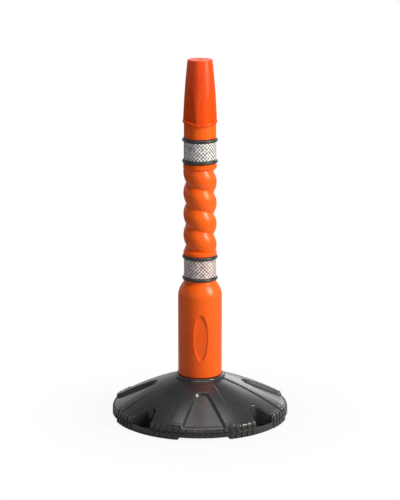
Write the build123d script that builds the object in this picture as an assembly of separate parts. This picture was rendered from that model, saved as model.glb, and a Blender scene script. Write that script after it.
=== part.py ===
"""Free-standing plastic chain stanchion: a round two-tier base with four hand grips, a blow-moulded
post with a twisted middle, two reflective bands between four rubber rings, and a pull-off cap.

Millimetres, +Z up, origin on the floor under the middle of the base. The front is -Y."""
from build123d import *
import math
import os

# ---- Floor and base rim
foot_drop = 0.8            # the rubber feet stand this much below the tray
rim_radius = 245.0         # over the teeth of the rim
seam_z = 20.0              # joint line between cover and tray
seam_gap = 0.2             # air between parts that stand face to face in the base
rim_edge_z = 30.0          # where the rounded shoulder of the rim meets its upright side
rim_wall = 4.0
tooth_count = 88
tooth_depth = 3.0
tooth_gap_width = 6.0
rim_fullness = 0.22         # how far the rim's rounded shoulder bulges, as a share of its width
overrun = 1.0               # cuts run this far past the faces that they cut

# ---- Base cover: a shallow cone with a collar, four spokes and four lower panels
collar_top_z = 120.0
collar_margin = 7.7        # how far the collar reaches past the post's wide foot
collar_round = 4.5
collar_foot_z = 114.0
rim_shoulder_width = 14.0  # from the foot of the slope out to the rim
cone_foot_z = 44.0
cone_bulge = 5.5           # height of the slope's middle above a straight cone
cover_wall = 3.5
panel_step = 3.0           # the panels lie this much under the spokes
side_count = 4             # spokes, and as many panels between them
panel_half_angle = 90.0 / side_count

# ---- Arch-shaped recess on each spoke
arch_apex_radius = 118.0
arch_apex_half = 15.0
arch_rim_half = 60.0
arch_corner = 12.0
arch_depth = 6.5
arch_lip_z = 28.0

# ---- Hand-grip pocket in each panel
grip_length = 58.0         # from the rim in to the apex
grip_apex_half = 19.0
grip_rim_half = 36.0
grip_corner = 14.0

# ---- Tray under the cover
tray_floor = 5.2
notch_height = 8.0
notch_half_width = 66.0
notch_reach = 24.0         # how far the notch runs in from the rim
notch_roof = 3.5

# ---- Screws and their bosses
screw_radius = 2.4
screw_clearance = 0.1
screw_head_radius = 5.2
screw_head_height = 2.6
screw_head_clearance = 0.3
counterbore_depth = 3.0
boss_radius = 7.0
boss_height = 3.0
cover_screw_margin = 40.0  # from the rim in to the screws
cover_screw_count = 8
cover_screw_grip = 15.0    # length of shank inside the cover's boss
socket_screw_count = 4
socket_screw_grip = 5.5

# ---- Rubber feet
foot_radius = 18.0
foot_margin = 40.0         # from the rim in to the feet
foot_recess = 3.2
foot_clearance = 0.2

# ---- Post socket in the middle of the base
spigot_step = 10.8         # the spigot is this much narrower than the post's wide foot
spigot_chamfer = 3.0
fit_clearance = 0.4        # all round the spigot, and all round the cap's seat
seat_gap = 0.3             # air under a face that sits on another body
socket_wall = 4.0
socket_floor = 4.0
socket_flange_width = 18.0
socket_flange_height = 8.0

# ---- Ballast ring
ballast_gap = 1.2          # to the socket's flange, the grips and the screw bosses
ballast_slope_clearance = 2.0

# ---- Post, from the collar up
bottle_radius = 60.8
bottle_foot_round = 3.0
bottle_length = 221.0
shoulder_height = 44.7
neck_radius = 44.0
neck_flare = 1.0           # the shoulder meets the neck over a short flare
neck_flare_height = 2.5
post_wall = 3.5
neck_wall = 9.0            # thick enough for the ring grooves
shoulder_to_ring = 9.0
lower_band_length = 60.0   # ring centre to ring centre
ring_to_twist = 14.5
bead_height = 1.8          # plain collars above and below the twist, just outside its crests
bead_length = 10.0
bead_rise = 2.0            # length of the bevel below the bead
twist_length = 234.5
twist_pitch = 58.6
twist_crest_height = 1.3   # crests over the neck
twist_root_depth = 7.2     # groove under the neck
groove_half_share = 0.02   # half of the rounded bottom of the groove, as a share of a turn
twist_point_count = 40     # spans of the curve through one turn of the bulge
twist_phase = 287.5        # where the groove starts at the foot of the twist, degrees from +X
twist_to_ring = 18.5
upper_band_length = 59.0
ring_to_ledge = 47.8       # from the top ring's centre to the ledge that carries the cap

# ---- Oval recess on the front of the post
oval_width = 39.0
oval_height = 129.0
oval_centre_rise = 115.5   # above the foot of the post's wide part
oval_depth = 4.5

# ---- Rings and bands
ring_thickness = 9.8
ring_sink = 0.2            # the ring's centre line lies this far outside the neck
ring_clearance = 0.1
band_thickness = 0.4
band_clearance = 0.05
band_end_gap = 0.6

# ---- Cap and the post's tip inside it
cap_height = 171.0
cap_top_margin = 2.2       # the cap's side over the tip, at its top
cap_foot_margin = 2.2      # and over the neck, at its foot
cap_bulge = 1.6            # sagitta of the cap's side over its height
cap_top_wall = 6.0
cap_edge_round = 1.5
cap_wall = 3.6
cap_hole_radius = 4.75
cap_edge_dip = 9.0         # how far the lower edge hangs at front and back below the sides
lip_rise = 0.7             # the lip over the cap's foot
lip_height = 8.6
facet_top_drop = 68.0      # from the cap's top to the tip of each facet
facet_foot_depth = 4.0     # facet under the cap's foot radius, at its foot
facet_lean = 0.9           # how much nearer to the axis the facet's tip is than its foot
tip_height = 115.0
tip_ledge_width = 6.0      # the ledge that carries the cap
tip_taper = 6.5            # how much the tip narrows to its top

# ---- Radii worked out from the values above
collar_radius = bottle_radius + collar_margin
cone_foot_radius = rim_radius - rim_shoulder_width
grip_apex_radius = rim_radius - grip_length
cover_screw_circle = rim_radius - cover_screw_margin
foot_circle = rim_radius - foot_margin
cutter_end = 1.1 * rim_radius   # the cutters of the recesses end here, past the rim
cone_end = 1.2 * rim_radius     # and the cutting cones and wedges here, past those
spigot_radius = bottle_radius - spigot_step
neck_bore_radius = neck_radius - neck_wall
bead_radius = neck_radius + bead_height
twist_crest_radius = neck_radius + twist_crest_height
twist_root_radius = neck_radius - twist_root_depth
tip_foot_radius = neck_radius - tip_ledge_width
tip_top_radius = tip_foot_radius - tip_taper
cap_foot_radius = neck_radius + cap_foot_margin
cap_top_radius = tip_top_radius + cap_top_margin
lip_radius = cap_foot_radius + lip_rise
facet_foot_flat = cap_foot_radius - facet_foot_depth
facet_tip_flat = facet_foot_flat - facet_lean

# ---- Heights worked out from the values above
tray_top_z = foot_drop + tray_floor
tray_boss_z = tray_top_z + boss_height
socket_z = tray_top_z + seam_gap
spigot_z = socket_z + socket_floor + seat_gap
bottle_z = collar_top_z + seat_gap
shoulder_z = bottle_z + bottle_length
neck_z = shoulder_z + shoulder_height
ring_z = [neck_z + shoulder_to_ring]
ring_z.append(ring_z[0] + lower_band_length)
twist_z = ring_z[1] + ring_to_twist
collar_z = twist_z + twist_length
ring_z.append(collar_z + twist_to_ring)
ring_z.append(ring_z[2] + upper_band_length)
ledge_z = ring_z[3] + ring_to_ledge
cap_z = ledge_z - seat_gap
cap_top_z = cap_z + cap_height
tip_z = ledge_z + tip_height
cone_slope = (collar_foot_z - cone_foot_z) / (cone_foot_radius - collar_radius)
inner_rim_radius = rim_radius - tooth_depth - rim_wall
flange_radius = spigot_radius + fit_clearance + socket_wall + socket_flange_width
socket_screw_circle = flange_radius - socket_flange_width / 2
front = -90.0
spoke_angles = [front + i * 360 / side_count for i in range(side_count)]
panel_angles = [angle + 180 / side_count for angle in spoke_angles]


def point(radius, z):
    """A point of a turned outline, in the plane through the axis."""
    return (radius, 0, z)


def turned(*lines):
    """A solid of revolution about the Z axis."""
    edges = [edge for line in lines for edge in line.edges()]
    return revolve(Face(Wire(edges)), Axis.Z).solid()


def turned_polygon(*corners):
    """A solid of revolution from straight lines between (radius, z) corners."""
    return turned(Polyline(*[point(*corner) for corner in corners], close=True))


def tube(inner, outer, low, high):
    """A ring of rectangular section."""
    return turned_polygon((inner, low), (outer, low), (outer, high), (inner, high))


def disc(radius, low, high, circle=0.0, angle=0.0):
    """An upright cylinder, placed on a circle round the axis."""
    place = Rot(0, 0, angle) * Pos(circle, 0, low)
    return place * Solid.make_cylinder(radius, high - low)


def gate(apex_radius, apex_half, rim_half, corner, low, high, grow=0.0):
    """An upright prism along +X: narrow and rounded at its inner end, wide at the rim."""
    outer = cutter_end
    slope = (rim_half - apex_half) / (rim_radius - apex_radius)
    side = grow * math.hypot(1, slope)
    inner = apex_radius - grow
    inner_half = apex_half - slope * grow + side
    outer_half = apex_half + slope * (outer - apex_radius) + side
    outline = make_face(
        Polyline(
            (inner, inner_half), (outer, outer_half), (outer, -outer_half), (inner, -inner_half),
            close=True,
        )
    )
    corners = outline.vertices().group_by(Axis.X)[0]
    rounded = fillet(corners, corner + grow)
    return extrude(Pos(0, 0, low) * rounded, high - low)


def arch(low, high, grow=0.0):
    """The plan of an arch recess as a prism."""
    return gate(arch_apex_radius, arch_apex_half, arch_rim_half, arch_corner, low, high, grow)


def grip(low, high, grow=0.0):
    """The plan of a hand-grip pocket as a prism."""
    return gate(grip_apex_radius, grip_apex_half, grip_rim_half, grip_corner, low, high, grow)


def all_round(shape, angles):
    """Copies of a shape turned about the axis."""
    return [Rot(0, 0, angle) * shape for angle in angles]


def slope_z(radius, drop):
    """Height of the cover's slightly domed slope, lowered by drop."""
    half = (cone_foot_radius - collar_radius) / 2
    share = (radius - collar_radius - half) / half
    return collar_foot_z - cone_slope * (radius - collar_radius) + cone_bulge * (1 - share * share) - drop


def dome(drop, low, radius, inner=0.0):
    """Everything under the cover's slope lowered by drop, out to a radius."""
    foot = min(radius, cone_foot_radius)
    start = max(inner, collar_radius)
    middle = (start + foot) / 2
    start_z = slope_z(start, drop)
    crown = Polyline(point(inner, low), point(inner, start_z), point(start, start_z))
    slope = ThreePointArc(
        point(start, start_z),
        point(middle, slope_z(middle, drop)),
        point(foot, slope_z(foot, drop)),
    )
    if radius > foot:
        shoulder_z_mid = (slope_z(foot, drop) + rim_edge_z) / 2
        shoulder_in = (rim_radius - foot) * rim_fullness
        shoulder = ThreePointArc(
            point(foot, slope_z(foot, drop)),
            point((foot + radius) / 2 + shoulder_in, shoulder_z_mid + shoulder_in),
            point(radius, rim_edge_z),
        )
        side = Polyline(point(radius, rim_edge_z), point(radius, low), point(inner, low))
        return turned(crown, slope, shoulder, side)
    side = Polyline(point(foot, slope_z(foot, drop)), point(foot, low), point(inner, low))
    return turned(crown, slope, side)


def rim_teeth(low, high):
    """The gaps between the upright teeth of the rim."""
    gap = Pos(rim_radius, 0, (low + high) / 2) * Box(2 * tooth_depth, tooth_gap_width, high - low)
    step = 360 / tooth_count
    return all_round(gap, [(i + 0.5) * step for i in range(tooth_count)])


def base_cover():
    """Moulded cone of the base: collar, spokes, panels, arches, grips and screw bosses."""
    high = collar_top_z + collar_round
    body = dome(0, seam_z, rim_radius)
    collar = turned(
        Polyline(
            point(0, seam_z),
            point(collar_radius, seam_z),
            point(collar_radius, collar_top_z - collar_round),
        ),
        ThreePointArc(
            point(collar_radius, collar_top_z - collar_round),
            point(
                collar_radius - collar_round * (1 - math.sqrt(0.5)),
                collar_top_z - collar_round * (1 - math.sqrt(0.5)),
            ),
            point(collar_radius - collar_round, collar_top_z),
        ),
        Polyline(
            point(collar_radius - collar_round, collar_top_z),
            point(0, collar_top_z),
            point(0, seam_z),
        ),
    )
    inside = dome(panel_step + cover_wall, seam_z - overrun, inner_rim_radius)
    arch_floor = arch_floor_cone(0)
    arch_shell = arch(seam_z - 2 * overrun, high, cover_wall) - arch_floor_cone(cover_wall)
    inside = inside.cut(*all_round(arch_shell, spoke_angles))
    body = body.fuse(collar).cut(inside)
    under = dome(panel_step, tray_top_z + seam_gap, inner_rim_radius - seam_gap)
    boss_under = dome(panel_step, tray_boss_z + seam_gap, inner_rim_radius - seam_gap)
    block = grip(0, high, cover_wall)
    blocks = [under & turned_block for turned_block in all_round(block, panel_angles)]
    boss = disc(boss_radius, tray_boss_z + seam_gap, high, cover_screw_circle)
    screw_angles = round_angles(cover_screw_count, panel_half_angle)
    bosses = [boss_under & one for one in all_round(boss, screw_angles)]
    body = body.fuse(*blocks, *bosses)
    panel_cut = panel_sector(high) - dome(panel_step, seam_z - overrun, rim_radius + overrun)
    arch_cut = arch(seam_z - overrun, high) - arch_floor
    cuts = all_round(panel_cut, panel_angles)
    cuts += all_round(arch_cut, spoke_angles)
    cuts += all_round(grip(0, high), panel_angles)
    shank = disc(
        screw_radius + screw_clearance,
        tray_boss_z,
        tray_boss_z + seam_gap + cover_screw_grip + overrun,
        cover_screw_circle,
    )
    cuts += all_round(shank, screw_angles)
    cuts.append(disc(spigot_radius + fit_clearance, 0, high))
    body = body.cut(*cuts)
    return body.cut(*rim_teeth(seam_z - overrun, high))


def arch_floor_z(radius):
    """Height of the straight floor of an arch recess, from its apex down to its lip."""
    apex_z = slope_z(arch_apex_radius, arch_depth)
    fall = (apex_z - arch_lip_z) / (rim_radius - arch_apex_radius)
    return apex_z - fall * (radius - arch_apex_radius)


def arch_floor_cone(drop):
    """Everything under the floor of the arch recesses, lowered by drop."""
    outer = cone_end
    inner = arch_apex_radius - 2 * cover_wall
    return turned_polygon(
        (0, -outer),
        (outer, -outer),
        (outer, arch_floor_z(outer) - drop),
        (inner, arch_floor_z(inner) - drop),
        (0, arch_floor_z(inner) - drop),
    )


def panel_sector(high):
    """A wedge over one panel, from the collar to past the rim."""
    half = math.radians(panel_half_angle)
    outer = cone_end
    inner = collar_radius
    outline = make_face(
        Polyline(
            (inner * math.cos(half), inner * math.sin(half)),
            (outer * math.cos(half), outer * math.sin(half)),
            (outer * math.cos(half), -outer * math.sin(half)),
            (inner * math.cos(half), -inner * math.sin(half)),
            close=True,
        )
    )
    wedge = extrude(Pos(0, 0, seam_z) * outline, high)
    return wedge - disc(collar_radius, 0, 2 * high)


def round_angles(count, first):
    """Evenly spaced angles round the axis."""
    return [first + i * 360 / count for i in range(count)]


def base_tray():
    """Moulded floor of the base with the lower tier of the rim."""
    floor = disc(rim_radius, foot_drop, tray_top_z)
    wall = tube(inner_rim_radius, rim_radius, foot_drop, seam_z - seam_gap)
    roof_z = foot_drop + notch_height
    roof = notch(roof_z + notch_roof, notch_roof, notch_reach + notch_roof)
    limit = disc(rim_radius - tooth_depth, foot_drop, seam_z)
    roofs = [limit & one for one in all_round(roof, spoke_angles)]
    cover_angles = round_angles(cover_screw_count, panel_half_angle)
    socket_angles = round_angles(socket_screw_count, front + 180 / socket_screw_count)
    bosses = all_round(disc(boss_radius, foot_drop, tray_boss_z, cover_screw_circle), cover_angles)
    body = floor.fuse(wall, *roofs, *bosses)
    cuts = all_round(notch(roof_z, 0, notch_reach), spoke_angles)
    for circle, angles in ((cover_screw_circle, cover_angles), (socket_screw_circle, socket_angles)):
        head = disc(
            screw_head_radius + screw_head_clearance, 0, foot_drop + counterbore_depth, circle
        )
        shank = disc(screw_radius + screw_clearance, 0, seam_z, circle)
        cuts += all_round(head, angles) + all_round(shank, angles)
    recess = disc(foot_radius + foot_clearance, 0, foot_drop + foot_recess, foot_circle)
    cuts += all_round(recess, panel_angles)
    body = body.cut(*cuts)
    return body.cut(*rim_teeth(-overrun, seam_z))


def notch(top, grow, reach):
    """The bevel-ended notch under a spoke, as a bar along +X that runs out past the rim."""
    half = notch_half_width + grow
    outline = make_face(
        Polyline(
            (-half, top), (half, top), (half + top + grow, -grow), (-half - top - grow, -grow),
            close=True,
        )
    )
    bar = extrude(Plane.YZ * outline, reach * 2)
    return Pos(rim_radius - reach, 0, 0) * bar


def ballast():
    """Heavy ring that keeps the post upright, lying on the tray."""
    inner = flange_radius + ballast_gap
    outer = min(grip_apex_radius - cover_wall, cover_screw_circle - boss_radius) - ballast_gap
    low = tray_top_z + seam_gap
    drop = cover_wall + ballast_slope_clearance
    inner_z = min(arch_floor_z(inner) - drop, slope_z(inner, panel_step + drop))
    return turned_polygon((inner, low), (outer, low), (outer, arch_floor_z(outer) - drop), (inner, inner_z))


def post_socket():
    """Cup that holds the post's spigot, with a flange screwed to the tray."""
    outer = spigot_radius + fit_clearance + socket_wall
    top = slope_z(collar_radius, panel_step + cover_wall) - seam_gap
    cup = disc(outer, socket_z, top).fuse(disc(flange_radius, socket_z, socket_z + socket_flange_height))
    bore = disc(spigot_radius + fit_clearance, socket_z + socket_floor, top + overrun)
    shank_top = socket_z + socket_screw_grip + overrun
    shank = disc(screw_radius + screw_clearance, 0, shank_top, socket_screw_circle)
    angles = round_angles(socket_screw_count, front + 180 / socket_screw_count)
    return cup.cut(bore, *all_round(shank, angles))


def screws(circle, angles, grip_z):
    """Pan-head screws driven up from under the tray."""
    seat = foot_drop + counterbore_depth
    head = disc(screw_head_radius, seat - screw_head_height, seat, circle)
    shank = disc(screw_radius, seat, grip_z, circle)
    return Compound(children=all_round(head.fuse(shank), angles))


def foot_pad(angle):
    """Rubber foot pressed into the tray's underside."""
    return disc(foot_radius, 0, foot_drop + foot_recess, foot_circle, angle)


def twist_section(inset):
    """Cross-section of the twisted stretch: one rope-like bulge and one sharp groove per turn."""
    depth = twist_crest_radius - twist_root_radius
    half = twist_pitch / 2
    bulge = (half * half + depth * depth) / (2 * depth)
    corners = []
    for i in range(twist_point_count + 1):
        share = groove_half_share + (1 - 2 * groove_half_share) * i / twist_point_count
        along = (share - 0.5) * twist_pitch
        radius = twist_crest_radius - inset - bulge + math.sqrt(bulge * bulge - along * along)
        turn = math.radians(360 * share)
        corners.append((radius * math.cos(turn), radius * math.sin(turn)))
    root = twist_root_radius - inset + depth * 2 * groove_half_share
    return Wire([Spline(*corners), ThreePointArc(corners[-1], (root, 0), corners[0])])


def twisted(inset, low, high):
    """The twisted stretch as a solid: a left-handed single-start rope."""
    turn = -360 * (high - low) / twist_pitch
    start = twist_phase - 360 * (low - twist_z) / twist_pitch
    bar = Solid.extrude_linear_with_rotation(twist_section(inset), (0, 0, 0), (0, 0, high - low), turn)
    return Pos(0, 0, low) * Rot(0, 0, start) * bar


def shoulder_arc(wall):
    """Round shoulder of the wide part, from its side up to the neck's fillet."""
    top = shoulder_height - neck_flare_height
    reach = bottle_radius - neck_radius - neck_flare
    bend = (top * top + reach * reach) / (2 * reach)
    half = math.asin(top / bend) / 2
    middle = (bottle_radius - bend * (1 - math.cos(half)) - wall, shoulder_z + bend * math.sin(half))
    return ThreePointArc(
        point(bottle_radius - wall, shoulder_z),
        point(*middle),
        point(bottle_radius - reach - wall, shoulder_z + top),
    )


def post_outside():
    """Outer shape of the post, from the spigot's foot to the tip inside the cap."""
    foot_mid = bottle_foot_round * (1 - math.sqrt(0.5))
    lower = turned(
        Polyline(
            point(0, spigot_z),
            point(spigot_radius - spigot_chamfer, spigot_z),
            point(spigot_radius, spigot_z + spigot_chamfer),
            point(spigot_radius, bottle_z),
            point(bottle_radius - bottle_foot_round, bottle_z),
        ),
        ThreePointArc(
            point(bottle_radius - bottle_foot_round, bottle_z),
            point(bottle_radius - foot_mid, bottle_z + foot_mid),
            point(bottle_radius, bottle_z + bottle_foot_round),
        ),
        Line(point(bottle_radius, bottle_z + bottle_foot_round), point(bottle_radius, shoulder_z)),
        shoulder_arc(0),
        Polyline(
            point(neck_radius + neck_flare, neck_z - neck_flare_height),
            point(neck_radius, neck_z),
            point(neck_radius, twist_z - bead_length),
            point(bead_radius, twist_z - bead_length + bead_rise),
            point(bead_radius, twist_z),
            point(0, twist_z),
            point(0, spigot_z),
        ),
    )
    upper = turned_polygon(
        (0, collar_z),
        (bead_radius, collar_z),
        (bead_radius, ring_z[2] - ring_thickness / 2),
        (neck_radius, ring_z[2] - ring_thickness / 2),
        (neck_radius, ledge_z),
        (tip_foot_radius, ledge_z),
        (tip_top_radius, tip_z),
        (0, tip_z),
    )
    return lower.fuse(twisted(0, twist_z, collar_z), upper)


def post_hollow():
    """The space inside the post, closed at both ends and drawn in behind the oval."""
    lower = turned(
        Polyline(
            point(0, spigot_z + post_wall),
            point(spigot_radius - spigot_chamfer - post_wall, spigot_z + post_wall),
            point(spigot_radius - post_wall, spigot_z + post_wall + spigot_chamfer),
            point(spigot_radius - post_wall, bottle_z + post_wall),
            point(bottle_radius - post_wall, bottle_z + 2 * post_wall),
            point(bottle_radius - post_wall, shoulder_z),
        ),
        shoulder_arc(post_wall),
        Polyline(
            point(neck_radius + neck_flare - post_wall, neck_z - neck_flare_height),
            point(neck_bore_radius, neck_z),
            point(neck_bore_radius, twist_z),
            point(0, twist_z),
            point(0, spigot_z + post_wall),
        ),
    )
    upper = turned_polygon(
        (0, collar_z),
        (neck_bore_radius, collar_z),
        (neck_bore_radius, ledge_z - post_wall),
        (tip_foot_radius - 2 * post_wall, ledge_z + post_wall),
        (tip_top_radius - post_wall, tip_z - post_wall),
        (0, tip_z - post_wall),
    )
    lower = lower.cut(oval(-oval_depth - post_wall, post_wall))
    return [lower, twisted(post_wall, twist_z, collar_z), upper]


def post_body():
    """Blow-moulded post: spigot, wide foot, necks, twisted middle and tip, one hollow piece."""
    grooves = [ring(height, ring_clearance) for height in ring_z]
    body = post_outside()
    for hollow in post_hollow():
        body = body.cut(hollow)
    return body.cut(oval(-oval_depth, 0), *grooves)


def oval(depth, grow):
    """Upright oval plug on the front of the post, its flat inner face at a depth from the wall."""
    outline = Ellipse(oval_width / 2 + grow, oval_height / 2 + grow)
    middle = (0, -bottle_radius - depth, bottle_z + oval_centre_rise)
    face = Plane(origin=middle, x_dir=(1, 0, 0), z_dir=(0, -1, 0))
    return extrude(face * outline, bottle_radius)


def ring(height, grow):
    """Rubber ring round the neck, or with grow the groove that it lies in."""
    return Pos(0, 0, height) * Solid.make_torus(neck_radius + ring_sink, ring_thickness / 2 + grow)


def band(low_ring, high_ring):
    """Reflective sheeting wrapped round the neck between two rings."""
    inset = ring_thickness / 2 + band_end_gap
    inner = neck_radius + band_clearance
    return tube(inner, inner + band_thickness, ring_z[low_ring] + inset, ring_z[high_ring] - inset)


def saddle(radius_grow):
    """Bar along X under a round saddle: the cap's lower edge follows its top."""
    bend = (cap_foot_radius ** 2 + cap_edge_dip ** 2) / (2 * cap_edge_dip)
    length = 4 * cap_foot_radius
    bar = Solid.make_cylinder(bend + radius_grow, length, Plane((-length / 2, 0, 0), z_dir=(1, 0, 0)))
    return Pos(0, 0, cap_z - bend) * bar


def cap():
    """Soft pull-off cap with four flat facets, a rolled lip and a hole through its top."""
    low = cap_z - 2 * cap_edge_dip
    middle = (cap_top_radius + cap_foot_radius) / 2 + cap_bulge
    edge = cap_edge_round
    outer = turned(
        Polyline(point(0, low), point(cap_foot_radius, low), point(cap_foot_radius, cap_z)),
        ThreePointArc(
            point(cap_foot_radius, cap_z),
            point(middle, (cap_z + cap_top_z) / 2),
            point(cap_top_radius, cap_top_z - edge),
        ),
        Polyline(
            point(cap_top_radius, cap_top_z - edge),
            point(cap_top_radius - edge, cap_top_z),
            point(0, cap_top_z),
            point(0, low),
        ),
    )
    facet_tip_z = cap_top_z - facet_top_drop
    lean = (facet_tip_flat - facet_foot_flat) / (facet_tip_z - cap_z)
    top_z = facet_tip_z + cap_wall
    outline = make_face(
        Polyline(
            (facet_foot_flat - lean * (cap_z - low), low),
            (2 * cap_foot_radius, low),
            (2 * cap_foot_radius, top_z),
            (facet_tip_flat + lean * cap_wall, top_z),
            close=True,
        )
    )
    facet = extrude(Plane.XZ * outline, cap_foot_radius, both=True)
    body = outer.cut(*all_round(facet, panel_angles))
    lip = tube(cap_foot_radius - cap_wall, lip_radius, low, cap_z + lip_height)
    lip = lip & saddle(lip_height)
    body = body.fuse(lip)
    shoulder_bore = neck_radius + fit_clearance
    hollow = turned_polygon(
        (0, low - overrun),
        (shoulder_bore, low - overrun),
        (shoulder_bore, ledge_z + seat_gap),
        (tip_foot_radius + fit_clearance, ledge_z + seat_gap),
        (tip_top_radius + fit_clearance, tip_z + seat_gap),
        (cap_top_radius - 2 * cap_wall, cap_top_z - cap_top_wall),
        (0, cap_top_z - cap_top_wall),
    )
    hole = disc(cap_hole_radius, cap_top_z - 2 * cap_top_wall, cap_top_z + overrun)
    return body.cut(hollow, hole, saddle(0))


def main():
    """Write one STEP file per node."""
    os.makedirs("parts", exist_ok=True)
    screw_angles = round_angles(cover_screw_count, panel_half_angle)
    socket_angles = round_angles(socket_screw_count, front + 180 / socket_screw_count)
    cover_screw_z = tray_boss_z + seam_gap + cover_screw_grip
    nodes = {
        "base_cover": base_cover(),
        "base_tray": base_tray(),
        "ballast_ring": ballast(),
        "post_socket": post_socket(),
        "cover_screws": screws(cover_screw_circle, screw_angles, cover_screw_z),
        "socket_screws": screws(socket_screw_circle, socket_angles, socket_z + socket_screw_grip),
        "post_body": post_body(),
        "reflective_band_lower": band(0, 1),
        "reflective_band_upper": band(2, 3),
        "cap": cap(),
    }
    for number, angle in enumerate(panel_angles, 1):
        nodes[f"foot_pad_{number}"] = foot_pad(angle)
    for number, height in enumerate(reversed(ring_z), 1):
        nodes[f"rubber_ring_{number}"] = ring(height, 0)
    for name, shape in nodes.items():
        export_step(shape, f"parts/{name}.step")
    print("overall height", cap_top_z)


main()
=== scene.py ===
"""Looks of a free-standing plastic chain stanchion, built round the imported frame.

Metres, +Z up, the front of the post is -Y. Sections follow the object as it is put together."""
import math
import bmesh
import bpy
import numpy as np
from mathutils import Matrix, Vector


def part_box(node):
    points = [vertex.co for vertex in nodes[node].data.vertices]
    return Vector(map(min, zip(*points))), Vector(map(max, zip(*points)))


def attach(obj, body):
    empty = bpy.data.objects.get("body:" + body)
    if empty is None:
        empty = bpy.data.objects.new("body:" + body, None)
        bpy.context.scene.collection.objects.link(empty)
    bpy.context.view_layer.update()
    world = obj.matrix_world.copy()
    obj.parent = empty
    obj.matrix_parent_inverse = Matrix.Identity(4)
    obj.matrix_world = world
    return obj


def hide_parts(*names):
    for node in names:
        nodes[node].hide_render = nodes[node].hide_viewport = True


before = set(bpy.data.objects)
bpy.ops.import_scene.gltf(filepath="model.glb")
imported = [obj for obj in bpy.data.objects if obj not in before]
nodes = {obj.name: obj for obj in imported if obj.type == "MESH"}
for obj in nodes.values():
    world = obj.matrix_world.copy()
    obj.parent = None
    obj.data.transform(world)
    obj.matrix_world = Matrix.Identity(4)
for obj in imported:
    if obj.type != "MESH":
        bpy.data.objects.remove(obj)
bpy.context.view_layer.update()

# ======================================================================= base tray
# The lower tier of the base: a round tray injection-moulded in charcoal plastic, with an upright rim
# that is toothed outside, smooth at the four hand grips and notched underneath at the four spokes.
# Screws driven up through its floor hold the cover, and rubber feet sit in its underside.
MM = 0.001
side_count = 4
sector = math.tau / (2 * side_count)
front = -math.pi / 2
tray_low, tray_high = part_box("base_tray")
rib_reach = tray_high.x
tray_bottom = tray_low.z
tray_rim = tray_high.z
tray_floor = 6.0 * MM
tray_inner = 238.0 * MM
tray_outer = rib_reach - 3.0 * MM
notch_height = 8.0 * MM
notch_roof = 3.5 * MM
notch_half = 66.0 * MM / rib_reach
notch_depth = rib_reach - 24.0 * MM
notch_ramp_near = 8.0 * MM
notch_ramp_far = 12.0 * MM
floor_fillet = 1.5 * MM
rim_round = 0.9 * MM
rim_round_middle = 0.3 * MM
foot_round = 1.4 * MM
foot_round_middle = 0.4 * MM
tooth_count = 88
tooth_width = 11.4 * MM
tooth_root = -1.0 * MM
tooth_end_share = 0.35
tooth_foot_gap = 0.6 * MM
tooth_top_gap = 1.2 * MM
tooth_taper = 1.0 * MM
tooth_notch_margin = 0.01
grip_half_angle = math.radians(9.4)


def smooth(share):
    """Cubic step from 0 to 1."""
    share = np.clip(share, 0.0, 1.0)
    return share * share * (3.0 - 2.0 * share)


def cylindrical(radius, angle, height):
    """Points from radius, angle and height arrays of one shape."""
    radius, angle, height = np.broadcast_arrays(radius, angle, height)
    return np.stack([radius * np.cos(angle), radius * np.sin(angle), height], axis=-1)


def grid_faces(rows, columns, wrap_rows=False, wrap_columns=False, first=0):
    """Quads of a rows by columns grid of points, closed round either way on request."""
    row = np.arange(rows if wrap_rows else rows - 1)
    column = np.arange(columns if wrap_columns else columns - 1)
    a, b = np.meshgrid(row, column, indexing="ij")
    c, d = (a + 1) % rows, (b + 1) % columns
    corners = [a * columns + b, c * columns + b, c * columns + d, a * columns + d]
    return np.stack(corners, axis=-1).reshape(-1, 4) + first


def piece(name, patches, body, replaced=(), weld=2e-6, crease=35):
    """One closed object from grids of points, welded and turned outwards, smooth under the crease angle."""
    points, faces, first = [], [], 0
    for grid, wrap_rows, wrap_columns in patches:
        rows, columns = grid.shape[:2]
        points.append(grid.reshape(-1, 3))
        faces.append(grid_faces(rows, columns, wrap_rows, wrap_columns, first))
        first += rows * columns
    mesh = bpy.data.meshes.new(name)
    mesh.from_pydata(np.concatenate(points).tolist(), [], np.concatenate(faces).tolist())
    work = bmesh.new()
    work.from_mesh(mesh)
    bmesh.ops.remove_doubles(work, verts=work.verts, dist=weld)
    loose = [vertex for vertex in work.verts if not vertex.link_faces]
    bmesh.ops.delete(work, geom=loose, context="VERTS")
    bmesh.ops.recalc_face_normals(work, faces=work.faces)
    work.to_mesh(mesh)
    work.free()
    mesh.polygons.foreach_set("use_smooth", np.ones(len(mesh.polygons), bool))
    mesh.set_sharp_from_angle(angle=math.radians(crease))
    made = bpy.data.objects.new(name, mesh)
    bpy.context.scene.collection.objects.link(made)
    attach(made, body)
    for node in replaced:
        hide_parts(node)
    return made


def fold(angle, count, start):
    """Angle to the nearest of count evenly spaced directions."""
    step = math.tau / count
    return (angle - start + step / 2) % step - step / 2


class Value:
    """A shader socket that takes part in Python arithmetic; each operator adds one Math node."""

    def __init__(self, mat, socket):
        self.mat = mat
        self.socket = socket

    def math(self, operation, *others):
        parts = {number: part for number, part in enumerate((self,) + others)}
        return self.mat.node("ShaderNodeMath", {"operation": operation}, parts, 0)

    def __add__(self, other):
        return self.math("ADD", other)

    def __sub__(self, other):
        return self.math("SUBTRACT", other)

    def __mul__(self, other):
        return self.math("MULTIPLY", other)

    def __rsub__(self, other):
        return self.mat.node("ShaderNodeMath", {"operation": "SUBTRACT"}, {0: other, 1: self}, 0)

    def clipped(self):
        return self.mat.node("ShaderNodeClamp", {}, {"Value": self}, 0)

    def sine(self):
        return self.math("SINE")

    __radd__ = __add__
    __rmul__ = __mul__


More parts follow.
